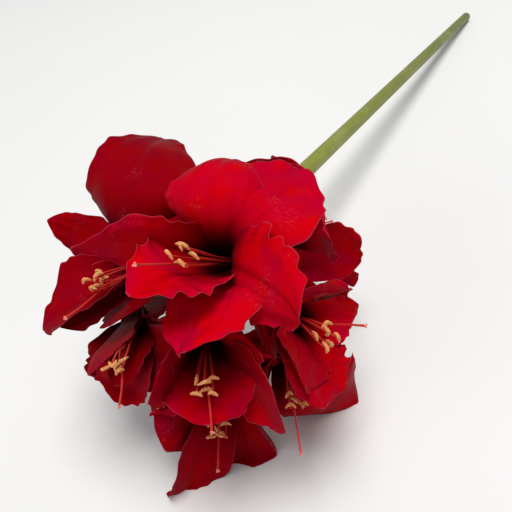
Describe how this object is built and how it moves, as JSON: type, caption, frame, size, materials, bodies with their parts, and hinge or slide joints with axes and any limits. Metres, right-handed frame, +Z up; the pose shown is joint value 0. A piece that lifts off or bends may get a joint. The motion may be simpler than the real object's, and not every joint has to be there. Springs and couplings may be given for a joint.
{
  "type": "cut amaryllis stem",
  "caption": "Cut amaryllis lying on a surface: one long leafless green stem with a dense head of open dark red blooms, stamens and styles.",
  "frame": {"origin": "middle of the outline's box at the height of the surface that the flower lies on", "axes": "+Z up, +Y along the stem from the flower head to the cut end, +X to the right of someone who looks along +Y"},
  "size_m": [0.241, 0.7222, 0.2487],
  "materials": {
    "tepal": "satin, velvety petal",
    "stamen": "matt filament and pollen",
    "flower_stalk": "satin green skin",
    "stem": "satin green skin"
  },
  "bodies": {
    "root": {"stem": "stem", "tepals_front": "tepal", "stamens_front": "stamen", "stalk_front": "flower_stalk", "tepals_left": "tepal", "stamens_left": "stamen", "stalk_left": "flower_stalk", "tepals_lower_left": "tepal", "stamens_lower_left": "stamen", "stalk_lower_left": "flower_stalk", "tepals_lower": "tepal", "stamens_lower": "stamen", "stalk_lower": "flower_stalk", "tepals_right": "tepal", "stamens_right": "stamen", "stalk_right": "flower_stalk", "tepals_bottom": "tepal", "stamens_bottom": "stamen", "stalk_bottom": "flower_stalk", "tepals_lower_right": "tepal", "stamens_lower_right": "stamen", "stalk_lower_right": "flower_stalk", "tepals_back": "tepal", "stamens_back": "stamen", "stalk_back": "flower_stalk"}
  },
  "joints": []
}
